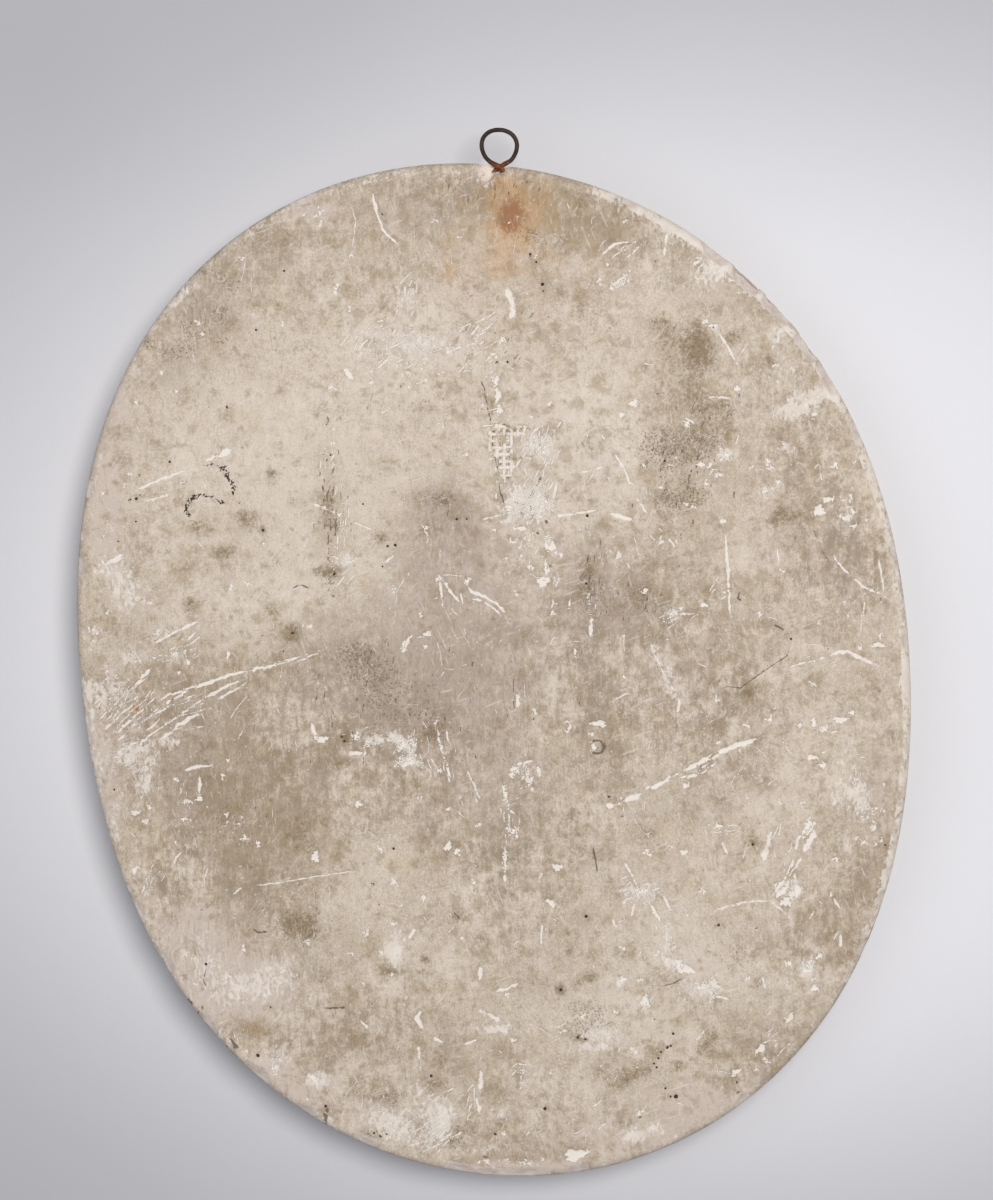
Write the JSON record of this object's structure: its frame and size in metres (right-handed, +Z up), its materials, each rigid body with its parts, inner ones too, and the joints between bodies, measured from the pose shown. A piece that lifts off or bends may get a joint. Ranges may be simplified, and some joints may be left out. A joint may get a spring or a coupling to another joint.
{
  "type": "plaster mold",
  "caption": "Flat oval plaster mold with a shallow stepped hollow in its face, cloth-reinforced back and a wire hanging loop.",
  "frame": {"origin": "on the surface that the mold lies on, face down, in the middle of the whole object's box", "axes": "+Z up out of the back, through the thickness; +Y towards the hanging loop, along the length; +X to the right as the back is seen with the loop at the top"},
  "size_m": [0.3346, 0.42, 0.032],
  "materials": {
    "fine_plaster": "matte",
    "backing_plaster": "matte",
    "aged_plaster": "matte",
    "iron_wire": "satin",
    "hessian": "matte"
  },
  "bodies": {
    "root": {"face_coat": "fine_plaster", "backing_coat": "backing_plaster", "skim_coat": "aged_plaster", "hanger_wire": "iron_wire", "scrim_strip_1": "hessian", "scrim_strip_2": "hessian", "scrim_strip_3": "hessian", "scrim_strip_4": "hessian", "scrim_strip_5": "hessian"}
  },
  "joints": []
}
